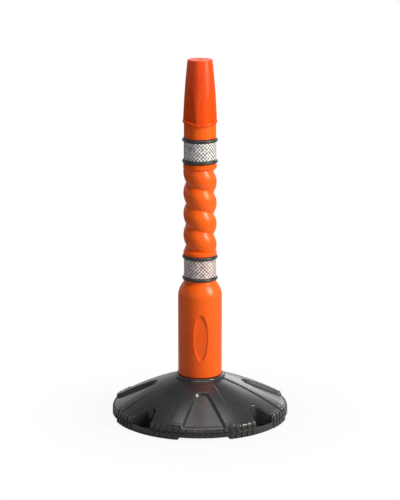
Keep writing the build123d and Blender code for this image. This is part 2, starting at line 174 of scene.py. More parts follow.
class Material:
    """A material with one Principled shader; node() adds any other node and wraps its output."""

    def __init__(self, name, **shader):
        self.data = bpy.data.materials.new(name)
        self.data.use_nodes = True
        self.tree = self.data.node_tree
        self.shader = self.tree.nodes["Principled BSDF"]
        for socket, value in shader.items():
            self.shader.inputs[socket.replace("_", " ")].default_value = value

    def node(self, kind, settings, inputs, output):
        made = self.tree.nodes.new(kind)
        for key, value in settings.items():
            if key == "stops":
                while len(made.color_ramp.elements) < len(value):
                    made.color_ramp.elements.new(1.0)
                for element, (position, colour) in zip(made.color_ramp.elements, value):
                    element.position = position
                    element.color = colour
            else:
                setattr(made, key, value)
        for key, value in inputs.items():
            if isinstance(value, Value):
                self.tree.links.new(value.socket, made.inputs[key])
            else:
                made.inputs[key].default_value = value
        return Value(self, made.outputs[output])

    def place(self):
        return self.node("ShaderNodeTexCoord", {}, {}, "Object")

    def noise(self, scale, detail=3.0, rough=0.55, where=None):
        where = where or self.place()
        sockets = {"Vector": where, "Scale": scale, "Detail": detail, "Roughness": rough}
        return self.node("ShaderNodeTexNoise", {}, sockets, "Fac")

    def stretched(self, x, y, z):
        return self.node("ShaderNodeMapping", {}, {"Vector": self.place(), "Scale": (x, y, z)}, "Vector")

    def axes(self, where):
        parts = self.node("ShaderNodeSeparateXYZ", {}, {"Vector": where}, "X").socket.node
        return [Value(self, parts.outputs[axis]) for axis in "XYZ"]

    def ramp(self, value, low, high, first, last):
        stops = [(low, first), (high, last)]
        return self.node("ShaderNodeValToRGB", {"stops": stops}, {"Fac": value}, "Color")

    def blend(self, share, first, second):
        return self.node("ShaderNodeMix", {"data_type": "RGBA"}, {0: share, 6: first, 7: second}, 2)

    def bump(self, height, distance, strength=1.0, under=None):
        sockets = {"Height": height, "Distance": distance, "Strength": strength}
        if under:
            sockets["Normal"] = under
        return self.node("ShaderNodeBump", {}, sockets, "Normal")

    def feed(self, **sockets):
        for socket, value in sockets.items():
            self.tree.links.new(value.socket, self.shader.inputs[socket.replace("_", " ")])
        return self.data


def rgb(red, green, blue):
    """Linear colour from the 0 to 255 values that a screen shows."""
    shown = np.array([red, green, blue]) / 255
    linear = np.where(shown <= 0.04045, shown / 12.92, ((shown + 0.055) / 1.055) ** 2.4)
    return (*linear.tolist(), 1.0)


def base_plastic():
    """Glossy charcoal moulding: dark grey that drifts a little, fine skin, scuffs that dull and dust it."""
    mat = Material("base_plastic", IOR=1.5, Coat_Roughness=0.12)
    drift = mat.noise(7.0, 4.0)
    scuff = mat.noise(34.0, 8.0, 0.7)
    fine = mat.noise(1300.0, 2.0)
    wave = mat.noise(16.0, 1.0)
    body = mat.ramp(drift, 0.3, 0.7, rgb(38, 40, 43), rgb(47, 50, 53))
    dust = (scuff - 0.62) * 0.5
    colour = mat.blend(dust.clipped(), body, rgb(74, 76, 78))
    surface = mat.bump(fine, 0.00004, 0.2, mat.bump(wave, 0.001, 0.06))
    rough = (drift - 0.5) * 0.1 + (scuff - 0.5) * 0.04 + 0.27
    return mat.feed(Base_Color=colour, Roughness=rough.clipped(), Normal=surface)


def tray_surface():
    """Turned profile swept round: floor, rim inside, rim top, rim outside and underside.

    Over each notch the underside, the rim's foot and the floor above are lifted by a trapezium of the
    angle with bevelled ends."""
    edge = notch_height / rib_reach
    knots = [notch_half, notch_half + edge]
    base = np.linspace(0, math.tau, 361)[:-1]
    extra = [front + spoke * 2 * sector + sign * knot
             for spoke in range(side_count) for sign in (-1, 1) for knot in knots]
    angle = np.unique(np.round(np.concatenate([base, np.mod(extra, math.tau)]), 6))
    away = np.abs(fold(angle, side_count, front))
    lift = np.clip((notch_half + edge - away) / edge, 0, 1)
    under = lift * notch_height
    above = lift * (notch_height + notch_roof + tray_bottom - tray_floor)
    none = lift * 0
    radial = [
        (0.0, tray_floor, none), (notch_depth - notch_ramp_far, tray_floor, none),
        (notch_depth - notch_ramp_near, tray_floor, above), (tray_inner - floor_fillet, tray_floor, above),
        (tray_inner, tray_floor + floor_fillet, above), (tray_inner, tray_rim - rim_round, none),
        (tray_inner + rim_round_middle, tray_rim - rim_round_middle, none),
        (tray_inner + rim_round, tray_rim, none), (tray_outer - rim_round, tray_rim, none),
        (tray_outer - rim_round_middle, tray_rim - rim_round_middle, none),
        (tray_outer, tray_rim - rim_round, none), (tray_outer, tray_bottom + foot_round, under),
        (tray_outer - foot_round_middle, tray_bottom + foot_round_middle, under),
        (tray_outer - foot_round, tray_bottom, under), (notch_depth, tray_bottom, under),
        (notch_depth - foot_round_middle, tray_bottom, none), (0.0, tray_bottom, none),
    ]
    return np.stack([cylindrical(radius, angle, height + raised) for radius, height, raised in radial])


def rib_patches(angle, path, normal, width, inner, outer, bevel=1.1 * MM):
    """A rounded bar: a bevelled section across the angle, carried along (radius, height) points."""
    half = width / 2
    across = np.array([-half, -half, -half + bevel, half - bevel, half, half])
    out = np.array([inner, outer - bevel, outer, outer, outer - bevel, inner])
    path, normal = np.asarray(path), np.asarray(normal)
    taper = np.ones(len(path))
    taper[[0, -1]] = tooth_end_share
    push = inner + (out[None, :] - inner) * taper[:, None]
    radius = path[:, :1] + normal[:, :1] * push
    height = path[:, 1:] + normal[:, 1:] * push
    turn = angle + across[None, :] / rib_reach
    ring = cylindrical(radius, turn, height)
    ends = [np.stack([ring[end, :3], ring[end, [5, 4, 3]]]) for end in (0, -1)]
    return [(ring, False, True)] + [(end, False, False) for end in ends]


tooth_angles = front + (np.arange(tooth_count) + 0.5) * math.tau / tooth_count
tray_patches = [(tray_surface(), False, True)]
tray_mesh = piece("base_tray_moulding", tray_patches, "base", ["base_tray"])
charcoal = base_plastic()
tray_mesh.data.materials.append(charcoal)
counterbore_radius = 5.5 * MM
counterbore_depth = 3.0 * MM
cover_screw_circle = 205.0 * MM
socket_screw_circle = 63.4 * MM
cover_screw_spots = [(cover_screw_circle, front + (turn + 0.5) * sector) for turn in range(2 * side_count)]
socket_screw_spots = [(socket_screw_circle, front + (2 * turn + 1) * sector) for turn in range(side_count)]


def cut_counterbores(made):
    """Takes an upright cylinder out of the underside at every screw, then keeps the cut mesh."""
    work = bmesh.new()
    for circle, turn in cover_screw_spots + socket_screw_spots:
        middle = Vector((circle * math.cos(turn), circle * math.sin(turn), tray_bottom))
        bmesh.ops.create_cone(work, cap_ends=True, segments=28, radius1=counterbore_radius,
                              radius2=counterbore_radius, depth=2 * counterbore_depth,
                              matrix=Matrix.Translation(middle))
    mesh = bpy.data.meshes.new("counterbores")
    work.to_mesh(mesh)
    work.free()
    cutter = bpy.data.objects.new("counterbores", mesh)
    bpy.context.scene.collection.objects.link(cutter)
    cut = made.modifiers.new("counterbores", "BOOLEAN")
    cut.object = cutter
    cut.operation = "DIFFERENCE"
    cut.solver = "EXACT"
    shown = made.evaluated_get(bpy.context.evaluated_depsgraph_get())
    made.data = bpy.data.meshes.new_from_object(shown)
    made.modifiers.clear()
    bpy.data.objects.remove(cutter)


cut_counterbores(tray_mesh)
teeth = []
for turn in tooth_angles:
    if abs(fold(turn, side_count, front + sector)) < grip_half_angle:
        continue
    from_notch = abs(fold(turn, side_count, front))
    foot = tray_bottom + tooth_foot_gap
    if from_notch < notch_half + tooth_notch_margin:
        foot += notch_height
    top = tray_rim - tooth_top_gap
    rail = [(tray_outer, level) for level in (foot, foot + tooth_taper, top - tooth_taper, top)]
    teeth += rib_patches(turn, rail, [(1, 0)] * 4, tooth_width, tooth_root, rib_reach - tray_outer)
tray_teeth = piece("base_tray_teeth", teeth, "base")
tray_teeth.data.materials.append(charcoal)

# ======================================================================= base cover
# The upper tier: a shallow cone moulded in the same charcoal plastic, with a collar round the post,
# four raised spokes with a round-topped sloping recess, and four lower panels with deep hand grips.
# Its toothed rim stands on the tray's, and eight bosses inside take the screws.
cover_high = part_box("base_cover")[1]
seam = tray_rim + 0.4 * MM
collar_radius = 68.5 * MM
collar_foot = 114.0 * MM
collar_top = cover_high.z
collar_round = 4.5 * MM
collar_bore = 50.4 * MM
cone_foot_radius = 231.0 * MM
cone_foot = 44.0 * MM
cone_bulge = 5.5 * MM
shoulder_run = 12.0 * MM
side_run = 10.0 * MM
rim_outer = rib_reach - 3.5 * MM
rim_edge = 30.0 * MM
lip_edge = 25.0 * MM
panel_drop = 3.0 * MM
step_width = 4.0 * MM
cover_wall = 3.0 * MM
collar_sweep = 1.6 * MM
collar_sweep_run = 4.0 * MM
collar_step = 1.2 * MM
bore_round = 1.5 * MM
bore_depth = 11.0 * MM
recess_apex = 118.0 * MM
recess_apex_round = 22.0 * MM
recess_half_angle = math.radians(20.4)
recess_rim_angle = math.radians(14.6)
recess_wall = 3.6 * MM
recess_sink = 6.5 * MM
recess_foot = 28.0 * MM
grip_cut_angle = math.radians(26.0)
grip_apex = 187.0 * MM
grip_apex_round = 20.0 * MM
grip_round = 3.0 * MM
cover_tooth_reach = 3.2 * MM
cover_tooth_runs = np.array([21.0, 17.0, 12.5, 9.5, 7.0, 5.0]) * MM
cone_fall = (collar_foot - cone_foot) / (cone_foot_radius - collar_radius)
rows_out, rows_side, rows_apex = 10, 38, 16


def slope_height(radius):
    """Straight cone plus a parabola that bulges it in the middle."""
    half = (cone_foot_radius - collar_radius) / 2
    share = (radius - collar_radius - half) / half
    return collar_foot - cone_fall * (radius - collar_radius) + cone_bulge * (1 - share * share)


def rolled(run, height, edge):
    """Surface at a run from the axis, first outwards, then round the shoulder, then down the rim's side.

    The shoulder is a quadratic curve from the slope's foot to the rim's edge; returns radius and height."""
    over = np.clip((run - cone_foot_radius) / shoulder_run, 0, 1)
    down = np.clip((run - cone_foot_radius - shoulder_run) / side_run, 0, 1)
    knee = height - cone_fall * (rim_outer - cone_foot_radius) * 0.6
    radius = np.minimum(run, cone_foot_radius)
    radius = radius + (rim_outer - cone_foot_radius) * (1 - (1 - over) ** 2)
    level = (1 - over) ** 2 * height + 2 * over * (1 - over) * knee + over ** 2 * edge
    return radius, level + (seam - edge) * down


def outline_run(half_angle, apex_radius, apex_round, offset):
    """Runs and angles of one half of a round-topped outline, moved outwards by an offset.

    Rows go from the rim's foot up the side and round the apex; offsets are the columns."""
    centre = apex_radius + apex_round
    reach = apex_round + offset
    ahead, aside = math.cos(half_angle), math.sin(half_angle)
    start_x, start_y = centre - reach * aside, reach * ahead
    along = start_x * ahead + start_y * aside
    length = -along + np.sqrt(along ** 2 - start_x ** 2 - start_y ** 2 + cone_foot_radius ** 2)
    share = np.linspace(1, 0, rows_side + 1)[:, None]
    side_x = start_x + share * length * ahead
    side_y = start_y + share * length * aside
    turn = np.linspace(half_angle, math.pi / 2, rows_apex + 1)[1:, None]
    apex_x = centre - reach * np.sin(turn)
    apex_y = reach * np.cos(turn)
    x, y = np.concatenate([side_x, apex_x]), np.concatenate([side_y, apex_y])
    run, angle = np.hypot(x, y), np.arctan2(y, x)
    out_run = cone_foot_radius + np.linspace(shoulder_run + side_run, 0, rows_out + 1)[:-1, None]
    out_run = np.broadcast_to(out_run, (rows_out, run.shape[1]))
    out_angle = np.broadcast_to(angle[:1], (rows_out, run.shape[1]))
    return np.concatenate([out_run, run]), np.concatenate([out_angle, angle])


def sector_edge(inset):
    """Runs and angles of a sector's border: up its side from the rim, then round the collar."""
    out_run = cone_foot_radius + np.linspace(shoulder_run + side_run, 0, rows_out + 1)[:-1]
    side_run_values = np.linspace(cone_foot_radius, collar_radius + inset, rows_side + 1)
    apex_run = np.full(rows_apex, collar_radius + inset)
    run = np.concatenate([out_run, side_run_values, apex_run])
    near = np.minimum(run, rim_outer)
    half = sector / 2
    angle = half - inset / near
    corner = half - inset / (collar_radius + inset)
    angle[-rows_apex:] = np.linspace(corner, 0, rows_apex + 1)[1:]
    return run, angle


def top_height(run, angle, drop):
    """The slope, lowered on a panel except in a narrow ramp at its border, and swept up at the collar."""
    away = (sector / 2 - np.abs(angle)) * np.minimum(run, rim_outer)
    lowered = drop * smooth(away / (step_width * 0.8))
    rise = collar_sweep * np.clip(1 - (run - collar_radius) / collar_sweep_run, 0, 1) ** 2
    return slope_height(np.minimum(run, cone_foot_radius)) - lowered + rise


def outside_region(run, angle):
    """Grid between a feature's outer offset and the sector's border, with close columns at the border."""
    inner_run, inner_angle = run[:, :1], angle[:, :1]
    near_run, near_angle = (part[:, None] for part in sector_edge(step_width))
    edge_run, edge_angle = (part[:, None] for part in sector_edge(0.0))
    share = np.linspace(0, 1, 15)[None, :]
    strip = np.linspace(0, 1, 7)[None, 1:]
    wide_run = inner_run + (near_run - inner_run) * share
    wide_angle = inner_angle + (near_angle - inner_angle) * share
    thin_run = near_run + (edge_run - near_run) * strip
    thin_angle = near_angle + (edge_angle - near_angle) * strip
    return np.concatenate([wide_run, thin_run], 1), np.concatenate([wide_angle, thin_angle], 1)


def arch_floor_height(run):
    """Straight fall from the recess's apex to its lip at the rim."""
    top = slope_height(recess_apex) - recess_sink
    fall = (top - recess_foot) / (rib_reach - recess_apex)
    return top - fall * (np.minimum(run, cone_foot_radius) - recess_apex)


def spoke_patches():
    """Half a spoke: its top, the drafted wall of the recess as a cubic step, and the recess's floor."""
    offset = np.linspace(recess_wall, -recess_wall, 13)
    run, angle = outline_run(recess_half_angle, recess_apex, recess_apex_round, offset)
    sunk = smooth((offset[0] - offset) / (offset[0] - offset[-1]))[None, :]
    top_radius, top_level = rolled(run, top_height(run, angle, 0.0), rim_edge)
    low_radius, low_level = rolled(run, arch_floor_height(run), lip_edge)
    wall = cylindrical(top_radius + (low_radius - top_radius) * sunk, angle,
                       top_level + (low_level - top_level) * sunk)
    wide_run, wide_angle = outside_region(run, angle)
    radius, level = rolled(wide_run, top_height(wide_run, wide_angle, 0.0), rim_edge)
    share = np.linspace(1, 0, 12)[None, :]
    x, y = run[:, -1:] * np.cos(angle[:, -1:]), run[:, -1:] * np.sin(angle[:, -1:])
    floor_run = np.hypot(x, y * share)
    floor_angle = np.arctan2(y * share, x)
    floor_run[:rows_out + 1] = run[:rows_out + 1, -1:]
    floor_angle[:rows_out + 1] = angle[:rows_out + 1, -1:] * share
    floor_radius, floor_level = rolled(floor_run, arch_floor_height(floor_run), lip_edge)
    recess_floor = cylindrical(floor_radius, floor_angle, floor_level)
    return [cylindrical(radius, wide_angle, level), wall, recess_floor]


def panel_patches():
    """Half a panel: its lowered top and the upright, round-edged wall of the hand grip."""
    bend = np.linspace(0, math.pi / 2, 7)
    offset = np.concatenate([grip_round * (1 - np.sin(bend)), np.linspace(-0.15, -1.2, 8) * MM])
    sink = np.concatenate([grip_round * (1 - np.cos(bend)), np.full(8, grip_round)])[None, :]
    down = np.concatenate([np.zeros(7), np.linspace(0.125, 1, 8)])[None, :]
    run, angle = outline_run(grip_cut_angle, grip_apex, grip_apex_round, offset)
    radius, level = rolled(run, top_height(run, angle, panel_drop), rim_edge)
    tilt = np.clip((run - cone_foot_radius) / shoulder_run, 0, 1) * math.pi / 2
    start_radius = radius - sink * np.sin(tilt)
    start_level = level - sink * np.cos(tilt)
    past = run > cone_foot_radius + 5 * MM
    end_level = np.where(past, seam, tray_floor + 0.4 * MM)
    on_side = run > cone_foot_radius + shoulder_run - 0.1 * MM
    end_level = np.where(on_side, start_level, end_level)
    wall = cylindrical(start_radius, angle, start_level + (end_level - start_level) * down)
    wide_run, wide_angle = outside_region(run, angle)
    radius, level = rolled(wide_run, top_height(wide_run, wide_angle, panel_drop), rim_edge)
    return [cylindrical(radius, wide_angle, level), wall]


def collar_patch(drop):
    """Half a sector of the collar: up from the slope, round over its top and down into the bore."""
    angle = np.linspace(sector / 2, 0, rows_apex + 1)[:, None]
    foot = top_height(np.full_like(angle, collar_radius), angle, drop)
    bend = np.linspace(0, math.pi / 2, 7)
    inner_bend = np.linspace(0, math.pi / 2, 4)
    radius = np.concatenate([
        [collar_radius, collar_radius], collar_radius - collar_round * (1 - np.cos(bend)),
        collar_bore + bore_round * (1 - np.sin(inner_bend)), [collar_bore]])
    height = np.concatenate([
        [0.0, collar_foot + collar_step], collar_top - collar_round * (1 - np.sin(bend)),
        collar_top - bore_round * (1 - np.cos(inner_bend)), [collar_top - bore_depth]])
    height = np.repeat(height[None, :], len(angle), 0)
    height[:, :1] = foot
    return cylindrical(radius[None, :], angle, height)


def turned_copy(grid, angle, mirrored):
    """The grid turned about the axis, from a copy mirrored across its own middle if asked."""
    side = -1 if mirrored else 1
    ahead, aside = math.cos(angle), math.sin(angle)
    x, y, z = grid[..., 0], grid[..., 1] * side, grid[..., 2]
    return np.stack([x * ahead - y * aside, x * aside + y * ahead, z], -1)


cover_patches = []
spoke_half = spoke_patches() + [collar_patch(0.0)]
panel_half = panel_patches() + [collar_patch(panel_drop)]
for number in range(side_count):
    for half, start in ((spoke_half, front), (panel_half, front + sector)):
        for mirrored in (False, True):
            turn = start + number * 2 * sector
            cover_patches += [(turned_copy(grid, turn, mirrored), False, False) for grid in half]
cover_mesh = piece("base_cover_moulding", cover_patches, "base", ["base_cover"], 3e-5)
cover_mesh.data.materials.append(charcoal)
thicken = cover_mesh.modifiers.new("wall", "SOLIDIFY")
thicken.thickness = cover_wall
thicken.offset = -1.0


def cover_tooth(turn):
    """One rib over the rim's side and shoulder, lower where a recess runs out at the rim."""
    from_spoke = abs(fold(turn, side_count, front))
    run = cone_foot_radius + cover_tooth_runs
    if from_spoke < recess_rim_angle:
        level, edge = arch_floor_height(run), lip_edge
    else:
        drop = panel_drop if from_spoke > sector / 2 else 0.0
        level, edge = slope_height(np.minimum(run, cone_foot_radius)) - drop, rim_edge
    radius, height = rolled(run, level, edge)
    path = np.stack([radius, height], -1)
    along = np.gradient(path, axis=0)
    along /= np.linalg.norm(along, axis=1)[:, None]
    normal = np.stack([along[:, 1], -along[:, 0]], -1)
    return rib_patches(turn, path, normal, tooth_width, tooth_root, cover_tooth_reach)


cover_teeth = []
for turn in tooth_angles:
    if abs(fold(turn, side_count, front + sector)) > grip_half_angle:
        cover_teeth += cover_tooth(turn)
cover_ribs = piece("base_cover_teeth", cover_teeth, "base")
cover_ribs.data.materials.append(charcoal)


def finish_nodes(material, *names):
    """Gives CAD pieces that stay as they are their finish."""
    for name in names:
        nodes[name].data.materials.clear()
        nodes[name].data.materials.append(material)


# ======================================================================= ballast
# A heavy ring of recycled rubber crumb that fills the base between tray and cover and keeps the post
# upright. It lies loose round the socket's flange, so no glue or screw holds it.
def crumb_rubber():
    """Black rubber granules pressed together: coarse cells with grey and brown ones among them."""
    mat = Material("ballast_rubber", IOR=1.45)
    cells = mat.node("ShaderNodeTexVoronoi", {}, {"Vector": mat.place(), "Scale": 260.0}, "Distance")
    tone = mat.noise(180.0, 3.0)
    colour = mat.ramp(tone, 0.35, 0.75, rgb(26, 26, 27), rgb(66, 62, 58))
    return mat.feed(Base_Color=colour, Roughness=cells * 0.3 + 0.7, Normal=mat.bump(cells, 0.0006, 0.8))


finish_nodes(crumb_rubber(), "ballast_ring")

# ======================================================================= socket
# The cup that takes the post's spigot, moulded in the same plastic as the base. Four screws through
# its flange hold it to the tray's floor.
finish_nodes(charcoal, "post_socket")


# ======================================================================= screws
# Zinc-plated self-tapping steel screws, driven up from below through the tray's floor: eight into the
# cover's bosses and four into the socket's flange.
def zinc():
    """Plated steel: cloudy grey with a faint yellow cast and fine scratches."""
    mat = Material("screw_steel", Metallic=1.0)
    cloud = mat.noise(300.0, 3.0)
    scratch = mat.noise(90.0, 6.0, 0.7, mat.stretched(1.0, 1.0, 14.0))
    colour = mat.ramp(cloud, 0.3, 0.7, rgb(168, 168, 160), rgb(196, 194, 184))
    surface = mat.bump(scratch, 0.00005, 0.5)
    return mat.feed(Base_Color=colour, Roughness=scratch * 0.3 + 0.2, Normal=surface)


finish_nodes(zinc(), "cover_screws", "socket_screws")


# ======================================================================= feet and rings
# Four soft rubber pads pressed into the tray's underside, and four thick black rubber rings that are
# stretched over the post and sit in grooves above and below each reflective band.
def rubber(name, dark, light, shine):
    """Soft black rubber: a dull skin with a bloom of grey and a fine moulded grain."""
    mat = Material(name, IOR=1.5)
    bloom = mat.noise(45.0, 5.0, 0.6)
    grain = mat.noise(1500.0, 2.0)
    colour = mat.ramp(bloom, 0.35, 0.7, dark, light)
    surface = mat.bump(grain, 0.00008, 0.4)
    return mat.feed(Base_Color=colour, Roughness=bloom * 0.2 + shine, Normal=surface)


foot_names = [f"foot_pad_{number}" for number in range(1, 5)]
finish_nodes(rubber("foot_rubber", rgb(30, 30, 31), rgb(46, 46, 48), 0.6), *foot_names)
ring_names = [f"rubber_ring_{number}" for number in range(1, 5)]
finish_nodes(rubber("ring_rubber", rgb(34, 37, 40), rgb(46, 50, 53), 0.28), *ring_names)
ring_levels = [sum(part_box(name)[side].z for side in (0, 1)) / 2 for name in ring_names]

# ======================================================================= post
# One hollow blow-moulded piece of orange plastic: a spigot for the socket, a wide foot with a bare oval
# recess, a rounded shoulder, two necks with ring grooves, a twisted middle and a tip inside the cap.
post_low, post_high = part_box("post_body")
bottle_radius = post_high.x
bottle_foot = collar_top + 0.3 * MM
bottle_round = 3.0 * MM
shoulder = bottle_foot + 221.0 * MM
shoulder_rise = 42.2 * MM
neck_radius = 44.0 * MM
neck_flare = 1.0 * MM
neck_level = shoulder + 44.7 * MM
spigot_radius = 50.0 * MM
spigot_chamfer = 3.0 * MM
bead_radius = 45.8 * MM
bead_rise = 2.0 * MM
twist_low = ring_levels[2] + 14.5 * MM
twist_high = twist_low + 234.5 * MM
twist_pitch = 58.6 * MM
twist_crest = 45.6 * MM
twist_root = 36.6 * MM
twist_phase = math.radians(287.5)
twist_blend = 4.0 * MM
groove_softness = 1.3 * MM
bead_top = ring_levels[1] - 4.9 * MM
ledge = ring_levels[0] + 47.8 * MM
tip_foot_radius = 38.0 * MM
tip_top_radius = 31.5 * MM
ring_line = 44.2 * MM
ring_groove = 5.0 * MM
oval_centre = bottle_foot + 115.5 * MM
oval_half_width = 19.5 * MM
oval_half_height = 64.5 * MM
oval_face = bottle_radius - 4.5 * MM
oval_edge = 1.3 * MM
oval_margin = 3.0 * MM
oval_span = 21.0
bead_start = 10.0 * MM
neck_overrun = 0.5 * MM


def rows(start, stop, step):
    """Evenly spaced heights about a step apart, without the last."""
    return np.linspace(start, stop, max(2, math.ceil((stop - start) / step)), endpoint=False)


def straight(radius, start, stop, step):
    """Radius and height of an upright stretch."""
    height = rows(start, stop, step)
    return np.stack([np.full_like(height, radius), height], -1)


def post_profile():
    """Radius and height from the spigot's foot to the tip, with the twist as a plain stretch."""
    turn = np.linspace(0, math.pi / 2, 7)
    foot = np.stack([bottle_radius - bottle_round * (1 - np.sin(turn)),
                     bottle_foot + bottle_round * (1 - np.cos(turn))], -1)
    reach = bottle_radius - neck_radius - neck_flare
    bend = (shoulder_rise ** 2 + reach ** 2) / (2 * reach)
    turn = np.linspace(0, math.asin(shoulder_rise / bend), 26)
    arc = np.stack([bottle_radius - bend * (1 - np.cos(turn)), shoulder + bend * np.sin(turn)], -1)
    share = np.linspace(0, 1, 6)
    rise = np.stack([neck_radius + (bead_radius - neck_radius) * smooth(share),
                     twist_low - bead_start + bead_rise * share], -1)
    oval_low, oval_high = (oval_centre + side * (oval_half_height + oval_margin) for side in (-1, 1))
    return np.concatenate([
        [(0, post_low.z), (spigot_radius - spigot_chamfer, post_low.z),
         (spigot_radius, post_low.z + spigot_chamfer), (spigot_radius, bottle_foot)],
        foot, straight(bottle_radius, bottle_foot + bottle_round + MM, oval_low, 9 * MM),
        straight(bottle_radius, oval_low, oval_high, MM),
        straight(bottle_radius, oval_high, shoulder, 8 * MM), arc,
        [(neck_radius + neck_flare * 0.4, neck_level - 1.6 * MM), (neck_radius, neck_level)],
        straight(neck_radius, neck_level + MM, twist_low - bead_start - neck_overrun, 1.4 * MM), rise,
        straight(bead_radius, twist_low - 7 * MM, twist_low, 2.5 * MM),
        straight(bead_radius, twist_low, twist_high, 1.1 * MM),
        straight(bead_radius, twist_high, bead_top - 0.4 * MM, 2.5 * MM),
        [(bead_radius - 0.2 * MM, bead_top), (neck_radius, bead_top + 0.2 * MM)],
        straight(neck_radius, bead_top + 0.6 * MM, ledge - 0.8 * MM, 1.8 * MM),
        [(neck_radius, ledge - 0.6 * MM), (neck_radius - 0.6 * MM, ledge),
         (tip_foot_radius + 0.5 * MM, ledge), (tip_foot_radius, ledge + 0.5 * MM)],
        [(tip_top_radius, post_high.z - 2 * MM), (tip_top_radius - 0.6 * MM, post_high.z - 0.6 * MM),
         (tip_top_radius - 2 * MM, post_high.z), (0, post_high.z)]])


def post_surface():
    """The profile turned round, then cut by the ring grooves, the oval and the single left-handed thread.

    The thread's section is a circular bulge over one pitch, softened at the groove; the oval is a flat
    face set into the front, blended over a narrow edge."""
    close = np.arange(-oval_span, oval_span, 0.95)
    wide = np.arange(oval_span, 360 - oval_span, 2.65)
    angle = front + np.radians(np.concatenate([close, wide]))[None, :]
    profile = post_profile()
    radius, height = profile[:, :1] + 0 * angle, profile[:, 1:] + 0 * angle
    depth = twist_crest - twist_root
    half = twist_pitch / 2
    bulge = (half ** 2 + depth ** 2) / (2 * depth)
    share = ((angle - twist_phase) / math.tau + (height - twist_low) / twist_pitch) % 1
    from_groove = np.hypot(half - np.abs(share - 0.5) * twist_pitch, groove_softness)
    thread = twist_crest - bulge + np.sqrt(bulge ** 2 - (half - from_groove) ** 2)
    near_end = np.minimum(height - twist_low, twist_high - height) / twist_blend
    radius = radius + (thread - radius) * smooth(near_end)
    for level in ring_levels:
        away = np.clip(1 - ((height - level) / ring_groove) ** 2, 0, 1)
        radius = np.where(away > 0, np.minimum(radius, ring_line - ring_groove * np.sqrt(away)), radius)
    aside = bottle_radius * np.sin(angle - front)
    over = height - oval_centre
    oval = np.hypot(aside / oval_half_width, over / oval_half_height)
    steep = np.hypot(aside / oval_half_width ** 2, over / oval_half_height ** 2) + 1e-9
    facing = np.cos(angle - front)
    inside = np.where(oval < 0.2, 1.0, smooth((1 - oval) * oval / steep / oval_edge)) * (facing > 0.5)
    flat = oval_face / np.maximum(facing, 0.5)
    return cylindrical(radius + (flat - radius) * inside, angle, height)


def post_plastic():
    """Saturated orange moulding: slight drift of tone, fine vertical lines, faint scuffs and grime."""
    mat = Material("post_plastic", IOR=1.42)
    drift = mat.noise(6.0, 3.0)
    mould = mat.noise(70.0, 4.0, 0.6, mat.stretched(1.0, 1.0, 0.12))
    scuff = mat.noise(28.0, 9.0, 0.75)
    grain = mat.noise(1100.0, 2.0)
    body = mat.ramp(drift, 0.3, 0.7, rgb(240, 88, 0), rgb(250, 100, 2))
    marks = ((scuff - 0.6) * 3.0).clipped() * 0.35
    colour = mat.blend(marks, body, rgb(206, 76, 14))
    surface = mat.bump(grain, 0.00009, 0.3, mat.bump(mould, 0.0003, 0.12))
    return mat.feed(Base_Color=colour, Roughness=mould * 0.12 + marks * 0.3 + 0.3, Normal=surface)


post_mesh = piece("post_moulding", [(post_surface(), False, True)], "post", ["post_body"])
post_mesh.data.materials.append(post_plastic())


# ======================================================================= reflective bands
# Two sleeves of silver prismatic sheeting: plastic film with small moulded prisms, wrapped round the
# necks between the rubber rings and glued there.
diamond_width = 10.0 * MM


def prismatic_sheet(name, tint):
    """Silver sheeting: two sets of diagonal lines make small diamonds, each a little lighter or darker."""
    mat = Material(name, IOR=1.5, Coat_Weight=0.25, Coat_Roughness=0.1)
    x, y, z = mat.axes(mat.place())
    around = y.math("ARCTAN2", x) * neck_radius
    pitch = math.tau / diamond_width
    lines = (((around + z) * pitch).sine() + ((around - z) * pitch).sine()) * 0.5
    fine = (((around + z) * pitch * 4).sine() + ((around - z) * pitch * 4).sine()) * 0.5
    cloud = mat.noise(150.0, 3.0, 0.7)
    tone = lines * 0.6 + fine * 0.15 + (cloud - 0.5) * 2.0 + 0.5
    colour = mat.ramp(tone.clipped(), 0.15, 0.75, rgb(*[0.4 * part for part in tint]), rgb(*tint))
    return mat.feed(Base_Color=colour, Metallic=lines * 0.05 + 0.15, Roughness=tone * 0.2 + 0.28,
                    Normal=mat.bump(lines + fine * 0.4, 0.0003, 0.6))


finish_nodes(prismatic_sheet("reflective_sheet_upper", (240, 240, 244)), "reflective_band_upper")
finish_nodes(prismatic_sheet("reflective_sheet_lower", (240, 222, 222)), "reflective_band_lower")

# ======================================================================= cap
# A soft, slightly translucent red-orange cap pulled over the post's tip: four long scoops, a rolled lip
# with a saddle-shaped lower edge and a hole through its thick top.
cap_low, cap_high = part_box("cap")
cap_dip = 9.0 * MM
cap_foot = cap_low.z + cap_dip
cap_foot_radius = 46.2 * MM
cap_top_radius = 33.7 * MM
cap_bulge = 1.6 * MM
cap_edge = 1.6 * MM
cap_hole = 4.75 * MM
cap_roof = 6.0 * MM
cap_clearance = 0.4 * MM
lip_height = 8.6 * MM
scoop_foot_flat = 40.3 * MM
scoop_tip_flat = 40.9 * MM
scoop_tip = cap_high.z - 75.0 * MM
scoop_hollow = 1.6 * MM
scoop_width = 22.6 * MM
cap_seat_gap = 0.3 * MM
cap_top_wall = 7.2 * MM
hole_chamfer = 1.0 * MM
hole_round = 0.8 * MM
bore_lift = 0.8 * MM
top_dish = 0.25 * MM
lip_blend = 0.6 * MM
lip_outline = np.array([(0.25, 8.6), (0.75, 8.1), (1.0, 7.0), (1.05, 4.5),
                        (1.0, 1.8), (0.6, 0.5), (0.0, 0.0), (-1.2, 0.0)]) * MM


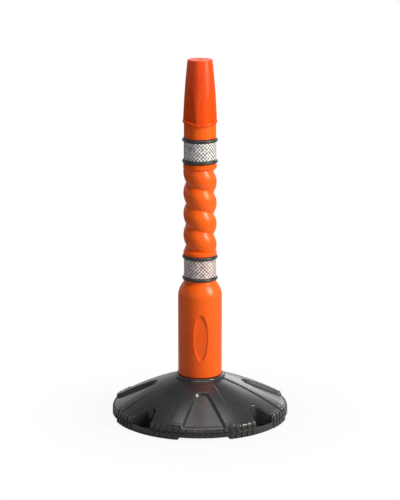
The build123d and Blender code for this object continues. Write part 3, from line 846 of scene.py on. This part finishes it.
def cap_side(angle, height):
    """Radius of the cap's side: a bulged cone, cut by four hollowed flats that run out upwards."""
    share = (height - cap_foot) / (cap_high.z - cap_foot)
    bulge = cap_bulge * 4 * share * (1 - share)
    cone = cap_foot_radius + (cap_top_radius - cap_foot_radius) * share + bulge
    up_scoop = (height - cap_foot) / (scoop_tip - cap_foot)
    flat = scoop_foot_flat + (scoop_tip_flat - scoop_foot_flat) * up_scoop
    half = np.sqrt(np.maximum(cone ** 2 - flat ** 2, 1e-10))
    turn = fold(angle, side_count, front + sector)
    aside = np.clip(flat * np.tan(turn) / half, -1, 1)
    hollow = scoop_hollow * (half / scoop_width) ** 2 * (1 - aside ** 2)
    scoop = np.where(flat < cone, (flat - hollow) / np.cos(turn), cone + MM)
    gap = scoop - cone
    return (scoop + cone - np.hypot(gap, 0.1 * MM)) / 2


def cap_surface():
    """Closed profile carried round: bore, inner cone, roof, hole, top edge, side and rolled lip."""
    angle = front + np.linspace(0, math.tau, 360, endpoint=False)[None, :]
    saddle = (cap_foot_radius ** 2 + cap_dip ** 2) / (2 * cap_dip)
    edge = cap_foot - saddle + np.sqrt(saddle ** 2 - (cap_foot_radius * np.sin(angle)) ** 2)
    bore = neck_radius + cap_clearance
    seat = ledge + cap_seat_gap
    roof = cap_high.z - cap_roof
    bend = np.linspace(0, math.pi / 2, 6)
    inside = [(bore, seat), (tip_foot_radius + cap_clearance, seat),
              (tip_top_radius + cap_clearance, post_high.z + cap_seat_gap),
              (cap_top_radius - cap_top_wall, roof), (cap_hole + hole_chamfer, roof),
              (cap_hole, roof + hole_chamfer)]
    inside += [(cap_hole + hole_round * (1 - math.cos(turn)), cap_high.z - hole_round * (1 - math.sin(turn)))
               for turn in bend]
    top_side = cap_side(angle, cap_high.z - cap_edge)
    grid = [cylindrical(bore, angle, edge + bore_lift)]
    grid += [cylindrical(radius, angle, height) for radius, height in inside]
    grid += [cylindrical(top_side * share, angle, cap_high.z - top_dish * (1 - share))
             for share in (0.3, 0.6, 0.9)]
    grid += [cylindrical(top_side - cap_edge * (1 - math.sin(turn)), angle,
                         cap_high.z - cap_edge * (1 - math.cos(turn))) for turn in bend]
    lip_top = edge + lip_height + lip_blend
    for share in np.linspace(0, 1, 110)[1:]:
        height = cap_high.z - cap_edge + (lip_top - cap_high.z + cap_edge) * share
        grid.append(cylindrical(cap_side(angle, height), angle, height))
    grid += [cylindrical(cap_foot_radius + out, angle, edge + up) for out, up in lip_outline]
    return np.concatenate(grid)


def cap_plastic():
    """Soft vinyl: red-orange that lets a little light through, a satin skin with fingermarks, and painted
    shade that turns the hole in its top almost black.
    """
    mat = Material("cap_plastic", IOR=1.4, Subsurface_Weight=0.45, Subsurface_Scale=0.008,
                   Subsurface_Radius=(1.0, 0.5, 0.2), Specular_IOR_Level=0.4)
    drift = mat.noise(14.0, 3.0)
    marks = mat.noise(55.0, 7.0, 0.7)
    grain = mat.noise(1400.0, 2.0)
    x, y, _ = mat.axes(mat.place())
    # Painted shade: inside the top hole's radius the colour goes almost black, standing in for the shade
    # down the hole.
    hole_painted_shade = ((cap_hole + 0.6 * MM - (x * x + y * y).math("SQRT")) * 1500.0).clipped()
    body = mat.ramp(drift, 0.3, 0.7, rgb(226, 70, 2), rgb(236, 80, 5))
    colour = mat.blend(hole_painted_shade, body, rgb(40, 14, 6))
    return mat.feed(Base_Color=colour, Roughness=marks * 0.2 + 0.22, Normal=mat.bump(grain, 0.00006, 0.25))


cap_mesh = piece("cap_moulding", [(cap_surface(), True, True)], "cap", ["cap"], 2e-6, 9)
cap_mesh.data.materials.append(cap_plastic())

# ======================================================================= floor, camera and light
# A pale floor that shows white to the camera and keeps the object's soft shadow, and a long lens that
# looks down a little at the middle of the post. A large soft lamp stands at the front right, a weak one
# at the front, and one each above and behind.
floor_size = 30.0
floor_mesh = bpy.data.meshes.new("floor")
floor_corners = [(-floor_size, -floor_size, 0), (floor_size, -floor_size, 0),
                 (floor_size, floor_size, 0), (-floor_size, floor_size, 0)]
floor_mesh.from_pydata(floor_corners, [], [(0, 1, 2, 3)])
floor = bpy.data.objects.new("floor", floor_mesh)
bpy.context.scene.collection.objects.link(floor)
paper = Material("floor_paper", Base_Color=(0.5, 0.5, 0.5, 1.0), Roughness=0.9, Specular_IOR_Level=0.1)
across, deep, _ = paper.axes(paper.place())
distance = (across * across + deep * deep).math("SQRT")
glow_start = 0.25
glow_fade = 4.0
glow_near = 0.92
seen = paper.node("ShaderNodeLightPath", {}, {}, "Is Camera Ray")
glow = seen * (((distance - glow_start) * glow_fade).clipped() * (1 - glow_near) + glow_near)
paper_light = paper.node("ShaderNodeEmission", {}, {"Color": (1, 1, 1, 1), "Strength": 1.0}, "Emission")
surface = Value(paper, paper.shader.outputs["BSDF"])
mixed = paper.node("ShaderNodeMixShader", {}, {0: glow, 1: surface, 2: paper_light}, "Shader")
paper.tree.links.new(mixed.socket, paper.tree.nodes["Material Output"].inputs["Surface"])
floor_mesh.materials.append(paper.data)

camera_data = bpy.data.cameras.new("camera")
camera_data.lens = 144.0
camera_data.sensor_fit = "VERTICAL"
camera_data.sensor_height = 36.0
camera = bpy.data.objects.new("camera", camera_data)
bpy.context.scene.collection.objects.link(camera)
elevation = math.radians(13.4)
azimuth = math.radians(-2.5)
camera_distance = 5.51
target = Vector((0.0, 0.0, 0.472))
away = Vector((math.sin(azimuth) * math.cos(elevation), -math.cos(azimuth) * math.cos(elevation),
               math.sin(elevation)))
camera.location = target + away * camera_distance
camera.rotation_euler = (-away).to_track_quat("-Z", "Y").to_euler()
bpy.context.scene.camera = camera


def soft_light(name, place, width, height, watts, colour):
    """A rectangular lamp that faces the middle of the post."""
    data = bpy.data.lights.new(name, "AREA")
    data.shape = "RECTANGLE"
    data.size = width
    data.size_y = height
    data.energy = watts
    data.color = colour
    lamp = bpy.data.objects.new(name, data)
    bpy.context.scene.collection.objects.link(lamp)
    lamp.location = place
    lamp.rotation_euler = (Vector((0, 0, 0.5)) - Vector(place)).to_track_quat("-Z", "Y").to_euler()


warm = (1.0, 0.95, 0.82)
neutral = (1.0, 1.0, 1.0)
soft_light("key_lamp", place=(2.5, -1.5, 1.9), width=0.7, height=1.5, watts=128, colour=warm)
soft_light("fill_lamp", place=(-0.5, -3.2, 1.4), width=0.8, height=1.6, watts=8, colour=neutral)
soft_light("top_lamp", place=(0.1, 0.0, 2.7), width=1.5, height=1.5, watts=33, colour=neutral)
soft_light("back_lamp", place=(1.0, 3.0, 1.4), width=1.0, height=1.4, watts=14, colour=neutral)

studio = bpy.data.worlds.new("studio")
bpy.context.scene.world = studio
studio.use_nodes = True


class Studio(Material):
    """The world's nodes, with the same ways of adding one."""

    def __init__(self, world):
        self.data = world
        self.tree = world.node_tree
        self.shader = self.tree.nodes["Background"]


room = Studio(studio)
look = room.node("ShaderNodeLightPath", {}, {}, "Is Camera Ray")
mirrored = Value(room, look.socket.node.outputs["Is Glossy Ray"])
through = Value(room, look.socket.node.outputs["Is Transmission Ray"])
direction = room.node("ShaderNodeTexCoord", {}, {}, "Generated")
height = room.axes(direction)[2]
backdrop_low = 1.15
backdrop_fall = 1.7
ambient = (0.09, 0.09, 0.095, 1.0)
white = (1.0, 1.0, 1.0, 1.0)
backdrop = (backdrop_low - height * backdrop_fall).clipped()
white_share = (look + (mirrored + through) * backdrop).clipped()
room.feed(Color=room.blend(white_share, ambient, white))
bpy.context.scene.view_settings.view_transform = "Standard"
